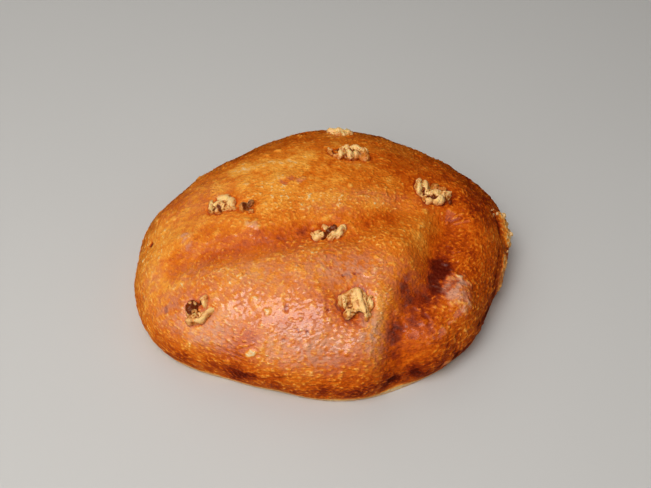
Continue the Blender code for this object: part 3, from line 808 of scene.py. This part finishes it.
def build_crust(settings):
    """The loaf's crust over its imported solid, with its relief, its marks and its seams round the kernels."""
    piece = crust_grid(settings.rings)
    points = points_of(piece)
    free = rise(points[:, 2], 0.5, 3.0)  # the foot stays on the floor
    fine_share = np.clip(1.0 - patch_strength(points, CALM_PATCHES), 0.0, 1.0)
    marks = mark_strengths(points, MARKS)
    torn = rise(-marks[1], 0.12, 0.35) * rise(points[:, 0], 60.0, 66.0)
    relief = crust_relief(points, fine_share, settings) + torn * torn_relief(points)
    nut_distance = np.min([node_distance(points, node) for node in WALNUTS], axis=0)
    uneven = 0.6 + 1.2 * noise_at(points, 4.0)
    collar = 0.05 * uneven * bell(nut_distance - 1.4, 1.0) - 0.16 * bell(nut_distance, 0.4)
    calm = rise(nut_distance, 0.0, 1.2)
    points += normals_of(piece) * (free * (relief * calm + collar + marks[0]))[:, None]
    move_points(piece, points)
    crust_values(piece, nut_distance, marks, fine_share, torn, settings)
    dress(piece, glazed_crust(settings))
    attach(piece, BODY)
    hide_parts("loaf")


def glazed_crust(settings):
    """Egg-washed bread crust: browned starch, from bare dough through amber to burnt, under a glossy film,
    with painted highlights, shade and sheen.
    """
    material, tree = new_material("glazed_crust_baked")
    place = add_node(tree, "TexCoord", output="Object")
    around = add_node(tree, "Attribute", output="Vector", attribute_name="wrap")
    names = ("bake_and_shade", "hollow", "dip", "edge", "veil_and_sheen", "wash", "fine", "broad")
    kept = {name: add_node(tree, "Attribute", output="Fac", attribute_name=name) for name in names}
    clouds, blotches, even_grain, wrapped_grain, streaks = (
        add_node(tree, "TexNoise", {"Vector": spot, "Scale": per_metre(size), "Detail": detail})
        for spot, size, detail in (
            (place, 7.0, 4.0), (place, 2.4, 3.0), (place, 1.1, 2.0), (around, 0.95, 2.0), (around, 1.7, 2.0)
        )
    )
    grain = add_node(tree, "Mix", {0: kept["edge"], 2: even_grain, 3: wrapped_grain}, data_type="FLOAT")
    cells = {"Vector": place, "Scale": per_metre(1.35), "Smoothness": 0.35}
    pebbles = add_node(tree, "TexVoronoi", cells, feature="SMOOTH_F1")
    painted_glints, ridge_highlights, mottled = (
        add_node(tree, "MapRange", {0: value, 1: low, 2: high, 3: least, 4: 1.0})
        for value, low, high, least in (
            (grain, 0.5, 0.72, 0.0), (kept["hollow"], -0.1, -1.0, 0.0), (blotches, 0.42, 0.56, 0.2)
        )
    )
    # What darkens the crust in fine and in broad detail: a value, its middle and its amount. The peaks of the
    # wrinkles and what the relief lifts are painted golden, as painted highlights, and the hollows and dips
    # painted darker, as painted shade.
    fine = (
        (painted_glints, 0.3, -0.32),
        (ridge_highlights, 0.3, -0.23),
        (streaks, 0.5, 0.38),
        (pebbles, 0.42, 0.06),
        (kept["hollow"], 0.0, 0.04),
    )
    broad = ((clouds, 0.5, 0.28), (blotches, 0.5, 0.30), (kept["dip"], 0.0, 0.04))
    # This holds the baking together with the painted highlights and painted shade added below.
    browned = kept["bake_and_shade"]
    softness = 0.06  # of the ease into the darkest
    for layers, strength, darkest in ((fine, kept["fine"], 0.07), (broad, kept["broad"], 0.12)):
        summed = 0.0
        for value, middle, amount in layers:
            even = add_node(tree, "Math", {0: value, 1: middle}, operation="SUBTRACT")
            summed = add_node(tree, "Math", {0: even, 1: amount, 2: summed}, operation="MULTIPLY_ADD")
        # Dark spots stop short, so that bright flecks, in part painted glints, stand on an even ground.
        eased = add_node(tree, "Math", {0: summed, 1: darkest, 2: softness}, operation="SMOOTH_MIN")
        browned = add_node(tree, "Math", {0: eased, 1: strength, 2: browned}, operation="MULTIPLY_ADD")
    stops = (
        (0.0, settings.dough[:]),
        (0.20, settings.gold[:]),
        (0.44, settings.amber[:]),
        (0.64, settings.russet[:]),
        (0.82, settings.chestnut[:]),
        (1.0, settings.burnt[:]),
    )
    tint = add_node(tree, "ValToRGB", {"Fac": browned}, stops=stops)
    veil_and_sheen_share = add_node(tree, "Math", {0: kept["veil_and_sheen"], 1: mottled}, operation="MULTIPLY")
    tint = add_node(tree, "Mix", {0: veil_and_sheen_share, 6: tint, 7: settings.veil_and_sheen[:]}, 2, data_type="RGBA")
    height = add_node(tree, "Math", {0: pebbles, 1: -0.5, 2: grain}, operation="MULTIPLY_ADD")
    bump = add_node(tree, "Bump", {"Strength": 1.0, "Distance": settings.bump_height, "Height": height})
    rough = add_node(tree, "MapRange", {0: kept["wash"], 1: 0.0, 2: 1.0, 3: 0.66, 4: 0.42})
    shader = add_node(
        tree,
        "BsdfPrincipled",
        {
            "Base Color": tint,
            "Roughness": rough,
            "IOR": 1.34,
            "Specular Tint": settings.sheen[:],
            "Coat Weight": kept["wash"],
            "Coat IOR": 1.5,
            "Coat Roughness": 0.115,
            "Normal": bump,
        },
    )
    add_node(tree, "OutputMaterial", {"Surface": shader})
    return material


# Walnuts


def chips(points, size):
    """Flat broken faces: in each cell the surface follows a plane with its own tilt, about -1 to 1."""
    heights = []
    for place in (points / size).tolist():
        _, cells = noise.voronoi(place)
        tilt = noise.cell_vector(cells[0]) - Vector((0.5, 0.5, 0.5))
        heights.append(2.0 * tilt.dot(Vector(place) - cells[0]) + 0.6 * (noise.cell(cells[0]) - 0.5))
    return np.array(heights)


def build_walnut(node, settings, material):
    """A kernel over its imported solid, its lobes pushed out of round, broken flat in places and wrinkled."""
    piece = copy_of_node(node, node + "_kernel")
    apply_modifier(piece, "SUBSURF", levels=1, render_levels=1)
    apply_modifier(piece, "REMESH", mode="VOXEL", voxel_size=settings.grain, use_smooth_shade=True)
    apply_modifier(piece, "SMOOTH", factor=0.5, iterations=3)
    points = points_of(piece)
    marks = mark_strengths(points, KERNEL_MARKS)
    slab = np.clip(marks[2], 0.0, 1.0)
    melting = 120  # rounds that blur lobes into a slab
    points += slab[:, None] * (blurred(points, edges_of(piece), melting) - points)
    move_points(piece, points)
    crease = hollowness(piece, 30)
    lobe = 2.6  # mm that are pushed one way
    warp = np.array([noise.noise_vector(place)[:] for place in (points / lobe).tolist()])
    broken = rise(noise_at(points + 9.0, 4.0), -0.3, -0.05)
    wrinkles = 1.0 - 2.5 * np.abs(noise_at(points, 1.2)) + 0.8 * noise_at(points, 0.6)
    push = (
        settings.chip_height / MM * broken * chips(points, settings.chip_width / MM)
        + settings.wrinkle_height / MM * (1.4 - broken) * wrinkles
        - 1.1 * crease
    ) * (1.0 - 0.7 * slab) + marks[0]
    points += settings.warp / MM * warp * (1.0 - 0.7 * slab)[:, None] + normals_of(piece) * push[:, None]
    move_points(piece, points)
    keep_value(piece, "hollow", np.clip(hollowness(piece, 10) / 0.12, -1.0, 1.0))
    keep_value(piece, "dip", np.clip(hollowness(piece, 60) / 0.5, -1.0, 1.0))
    keep_value(piece, "vein", noise_at(points + 5.0, 1.9))
    # Skin as the marks give it: brown skin, with painted shade in the pits and folds and painted glints on the
    # front left dome.
    keep_value(piece, "skin", np.clip(marks[1] + 0.3 * noise_at(points, 2.2), -1.0, 1.0))
    stain = bell(node_distance(points, "loaf"), 2.4) * (1.0 + 0.9 * noise_at(points, 1.6))
    keep_value(piece, "stain", np.clip(stain + 0.55 * noise_at(points + 3.0, 2.8) + marks[3], 0.0, 1.0))
    dress(piece, material)
    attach(piece, BODY)
    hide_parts(node)


def walnut_kernel(settings):
    """Toasted walnut kernel: waxy cream ridges, tan flanks, brown folds with painted shade, with scraps of
    papery brown skin.
    """
    material, tree = new_material("walnut_kernel_toasted")
    place = add_node(tree, "TexCoord", output="Object")
    names = ("hollow", "dip", "skin", "stain", "vein")
    kept = {name: add_node(tree, "Attribute", output="Fac", attribute_name=name) for name in names}
    cloud, flecks = (
        add_node(tree, "TexNoise", {"Vector": place, "Scale": per_metre(size), "Detail": detail})
        for size, detail in ((1.8, 4.0), (0.6, 3.0))
    )
    vein = add_node(tree, "Math", {0: kept["vein"]}, operation="ABSOLUTE")
    vein = add_node(tree, "MapRange", {0: vein, 1: 0.0, 2: 0.12, 3: 1.0, 4: 0.0})
    depth = cloud  # from cream to crevice; each value below adds to it by its amount, about its middle; the hollows and dips add painted shade and the brown of the folds
    for value, middle, amount in (
        (vein, 0.2, 0.14),
        (flecks, 0.5, 0.4),
        (kept["hollow"], 0.0, 0.22),
        (kept["dip"], 0.0, 0.42),
        (kept["skin"], 0.0, 0.22),
        (kept["stain"], 0.0, 0.10),
    ):
        even = add_node(tree, "Math", {0: value, 1: middle}, operation="SUBTRACT")
        depth = add_node(tree, "Math", {0: even, 1: amount, 2: depth}, operation="MULTIPLY_ADD")
    stops = ((0.40, settings.cream[:]), (0.62, settings.tan[:]), (0.92, settings.crevice[:]))
    tint = add_node(tree, "ValToRGB", {"Fac": depth}, stops=stops)
    soaked = add_node(tree, "Math", {0: kept["stain"], 1: 0.9}, operation="MULTIPLY")
    skinned = add_node(tree, "MapRange", {0: kept["skin"], 1: 0.45, 2: 0.8}, interpolation_type="SMOOTHSTEP")
    veined = add_node(tree, "Math", {0: vein, 1: 0.6}, operation="MULTIPLY")
    husk = add_node(tree, "Mix", {0: veined, 6: settings.skin[:], 7: settings.vein[:]}, 2, data_type="RGBA")
    for share_here, cover in ((soaked, settings.stain[:]), (skinned, husk)):
        tint = add_node(tree, "Mix", {0: share_here, 6: tint, 7: cover}, 2, data_type="RGBA")
    grit = add_node(tree, "Bump", {"Strength": 0.5, "Distance": 0.1 * MM, "Height": flecks})
    shader = add_node(
        tree,
        "BsdfPrincipled",
        {
            "Base Color": tint,
            "Roughness": 0.42,
            "IOR": 1.44,
            "Specular Tint": settings.oil[:],
            "Subsurface Weight": 0.3,
            "Subsurface Radius": (1.0, 0.5, 0.22),
            "Subsurface Scale": 1.4 * MM,
            "Coat Weight": 0.25,
            "Coat Roughness": 0.14,
            "Normal": grit,
        },
    )
    add_node(tree, "OutputMaterial", {"Surface": shader})
    return material


# Crumbs


def crumb_dough(settings):
    """Torn bread inside: matt, pale and pored, with toasted tips."""
    material, tree = new_material("torn_crumb_dough")
    place = add_node(tree, "TexCoord", output="Object")
    toast, pores = (
        add_node(tree, "TexNoise", {"Vector": place, "Scale": per_metre(size), "Detail": detail})
        for size, detail in ((1.2, 3.0), (0.3, 2.0))
    )
    tint = add_node(
        tree, "Mix", {0: toast, 6: settings.crumb[:], 7: settings.toasted[:]}, 2, data_type="RGBA"
    )
    pored = add_node(tree, "Bump", {"Strength": 0.7, "Distance": 0.1 * MM, "Height": pores})
    look = {"Base Color": tint, "Roughness": 0.75, "IOR": 1.4, "Normal": pored}
    shader = add_node(tree, "BsdfPrincipled", look)
    add_node(tree, "OutputMaterial", {"Surface": shader})
    return material


def place_along(line, share_along):
    """The place at a share of the way along a line of places."""
    places = [Vector(place) for place in line]
    runs = [(after - before).length for before, after in zip(places, places[1:])]
    left = share_along * sum(runs)
    for start, end, run in zip(places, places[1:], runs):
        if left <= run:
            return start.lerp(end, left / run)
        left -= run
    return places[-1]


def build_crumbs(settings):
    """Uneven crumbs along the torn edge, each sunk a third into the crust."""
    crust = bpy.data.objects.get("loaf_crust")
    if crust is None:
        raise RuntimeError("The crust is built before its crumbs")
    tree = BVHTree.FromObject(crust, bpy.context.evaluated_depsgraph_get())
    draw = random.Random(5)  # the same crumbs each time
    crumbs = []
    for number in range(settings.count):
        on_edge = place_along(TORN_EDGE, draw.random() ** 1.3)
        aside = Vector([draw.gauss(0.0, 1.0) for _ in range(3)])
        spot, normal, _, _ = tree.find_nearest((on_edge + aside) * MM)
        half = (settings.smallest + draw.random() ** 2 * (settings.largest - settings.smallest)) / 2
        bpy.ops.mesh.primitive_ico_sphere_add(subdivisions=3, radius=1.0)
        crumb = bpy.context.object
        points = points_of(crumb) * MM
        shape = 1.0 + 0.5 * noise_at(points + number, 0.8) + 0.25 * noise_at(points + number, 0.35)
        points *= shape[:, None] * [draw.uniform(0.7, 1.3), draw.uniform(0.7, 1.3), draw.uniform(0.6, 1.0)]
        turned = points @ np.array(normal.to_track_quat("Z", "Y").to_matrix()).T
        place = spot + normal * half * 0.3
        move_points(crumb, (turned * half + np.array(place)) / MM)
        crumbs.append(crumb)
    bpy.ops.object.select_all(action="DESELECT")
    for crumb in crumbs:
        crumb.select_set(True)
    bpy.context.view_layer.objects.active = crumbs[0]
    bpy.ops.object.join()
    piece = bpy.context.object
    piece.name = piece.data.name = "torn_crumbs"
    dress(piece, crumb_dough(settings))
    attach(piece, BODY)


# Stage


def pale_floor(settings):
    """Matt paper sweep: even and pale, with the faintest cloud in it."""
    material, tree = new_material("pale_paper_floor")
    place = add_node(tree, "TexCoord", output="Object")
    cloud = add_node(tree, "TexNoise", {"Vector": place, "Scale": per_metre(1000.0 / 6.0), "Detail": 2.0})
    shaded = [0.97 * channel for channel in settings.floor]
    tint = add_node(tree, "Mix", {0: cloud, 6: settings.floor[:], 7: shaded}, 2, data_type="RGBA")
    shader = add_node(tree, "BsdfPrincipled", {"Base Color": tint, "Roughness": 0.8})
    add_node(tree, "OutputMaterial", {"Surface": shader})
    return material


def aim(obj, place, target):
    obj.location = place
    obj.rotation_euler = (Vector(target) - Vector(place)).to_track_quat("-Z", "Y").to_euler()


def add_softbox(name, direction, distance, size, power, mirrored):
    """A round area light that faces the loaf from a direction, and shows in its gloss or not."""
    bpy.ops.object.light_add(type="AREA")
    light = bpy.context.object
    light.name = name
    light.data.shape = "DISK"
    light.data.size = size
    light.data.energy = power
    light.visible_glossy = mirrored
    aim(light, Vector(direction).normalized() * distance, LOAF_MIDDLE)


def build_stage(settings):
    """The floor, the softboxes and a camera that sees the loaf as the photo does."""
    bpy.ops.mesh.primitive_plane_add(size=6.0)
    floor = bpy.context.object
    floor.name = "floor"
    floor.data.materials.append(pale_floor(settings))
    floor.visible_glossy = False  # keeps the pale floor's grey sheen off the loaf's glazed sides

    world = bpy.data.worlds.new("studio")
    world.use_nodes = True
    world.node_tree.nodes["Background"].inputs["Color"].default_value = (1.0, 1.0, 1.0, 1.0)
    world.node_tree.nodes["Background"].inputs["Strength"].default_value = settings.sky
    world.cycles_visibility.glossy = False  # so that the crust mirrors the softboxes alone
    bpy.context.scene.world = world
    bpy.context.scene.view_settings.view_transform = "Standard"

    # Name, direction from the loaf, distance and width in metres, share of the power, shows in the gloss.
    for name, direction, distance, width, part, mirrored in (
        ("key_softbox", (-0.22, -0.42, 0.88), 0.8, 0.48, 0.54, True),
        ("key_rim", (-0.22, -0.40, 0.88), 0.82, 1.25, 0.46, True),
        ("front_softbox", (-0.6, -0.64, 0.47), 0.9, 0.7, 0.3, True),
        ("side_softbox", (0.72, -0.38, 0.6), 0.9, 0.35, 0.06, True),
        ("back_fill", (-0.3, 0.6, 0.75), 0.9, 0.8, 0.24, False),
    ):
        add_softbox(name, direction, distance, width, part * settings.key_power, mirrored)

    slope = math.radians(VIEW_ELEVATION)
    ahead = Vector((0.0, math.cos(slope), -math.sin(slope)))
    bpy.ops.object.camera_add()
    camera = bpy.context.object
    camera.name = "photo_camera"
    camera.data.lens = PHOTO_LENS
    camera.data.sensor_width = PHOTO_SENSOR
    camera.data.clip_start = 0.01
    aim(camera, Vector(VIEW_TARGET) - VIEW_DISTANCE * ahead, VIEW_TARGET)
    bpy.context.scene.camera = camera


class MESH_OT_gata_crust(bpy.types.Operator):
    """Builds the loaf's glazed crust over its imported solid"""

    bl_idname = "mesh.gata_crust"
    bl_label = "Gata crust"
    bl_options = {"REGISTER", "UNDO"}

    def execute(self, context):
        build_crust(context.scene.gata_crust)
        return {"FINISHED"}


class MESH_OT_gata_walnuts(bpy.types.Operator):
    """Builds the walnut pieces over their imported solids"""

    bl_idname = "mesh.gata_walnuts"
    bl_label = "Walnut pieces"
    bl_options = {"REGISTER", "UNDO"}

    def execute(self, context):
        settings = context.scene.gata_walnuts
        noise.seed_set(settings.warp_seed)  # noise_vector would start from the clock
        material = walnut_kernel(settings)
        for node in WALNUTS:
            build_walnut(node, settings, material)
        return {"FINISHED"}


class MESH_OT_gata_crumbs(bpy.types.Operator):
    """Scatters crumbs along the torn edge of the crust"""

    bl_idname = "mesh.gata_crumbs"
    bl_label = "Crumbs"
    bl_options = {"REGISTER", "UNDO"}

    def execute(self, context):
        build_crumbs(context.scene.gata_crumbs)
        return {"FINISHED"}


class SCENE_OT_gata_stage(bpy.types.Operator):
    """Builds the floor, the lights and the camera"""

    bl_idname = "scene.gata_stage"
    bl_label = "Stage"
    bl_options = {"REGISTER", "UNDO"}

    def execute(self, context):
        build_stage(context.scene.gata_stage)
        return {"FINISHED"}


class VIEW3D_PT_gata(bpy.types.Panel):
    """Lists the steps that build the gata"""

    bl_idname = "VIEW3D_PT_gata"
    bl_label = "Gata"
    bl_space_type = "VIEW_3D"
    bl_region_type = "UI"
    bl_category = "Gata"

    def draw(self, context):
        for operator in OPERATORS:
            self.layout.operator(operator.bl_idname)


SETTINGS = {
    "gata_crust": GataCrustSettings,
    "gata_walnuts": GataWalnutSettings,
    "gata_crumbs": GataCrumbSettings,
    "gata_stage": GataStageSettings,
}
OPERATORS = (MESH_OT_gata_crust, MESH_OT_gata_walnuts, MESH_OT_gata_crumbs, SCENE_OT_gata_stage)
CLASSES = (*SETTINGS.values(), *OPERATORS, VIEW3D_PT_gata)


def register():
    for entry in CLASSES:
        bpy.utils.register_class(entry)
    for name, group in SETTINGS.items():
        setattr(bpy.types.Scene, name, bpy.props.PointerProperty(type=group))


def unregister():
    for name in SETTINGS:
        delattr(bpy.types.Scene, name)
    for entry in reversed(CLASSES):
        bpy.utils.unregister_class(entry)


def main():
    register()
    bpy.ops.mesh.gata_crust()
    bpy.ops.mesh.gata_walnuts()
    bpy.ops.mesh.gata_crumbs()
    bpy.ops.scene.gata_stage()


if __name__ == "__main__":
    main()
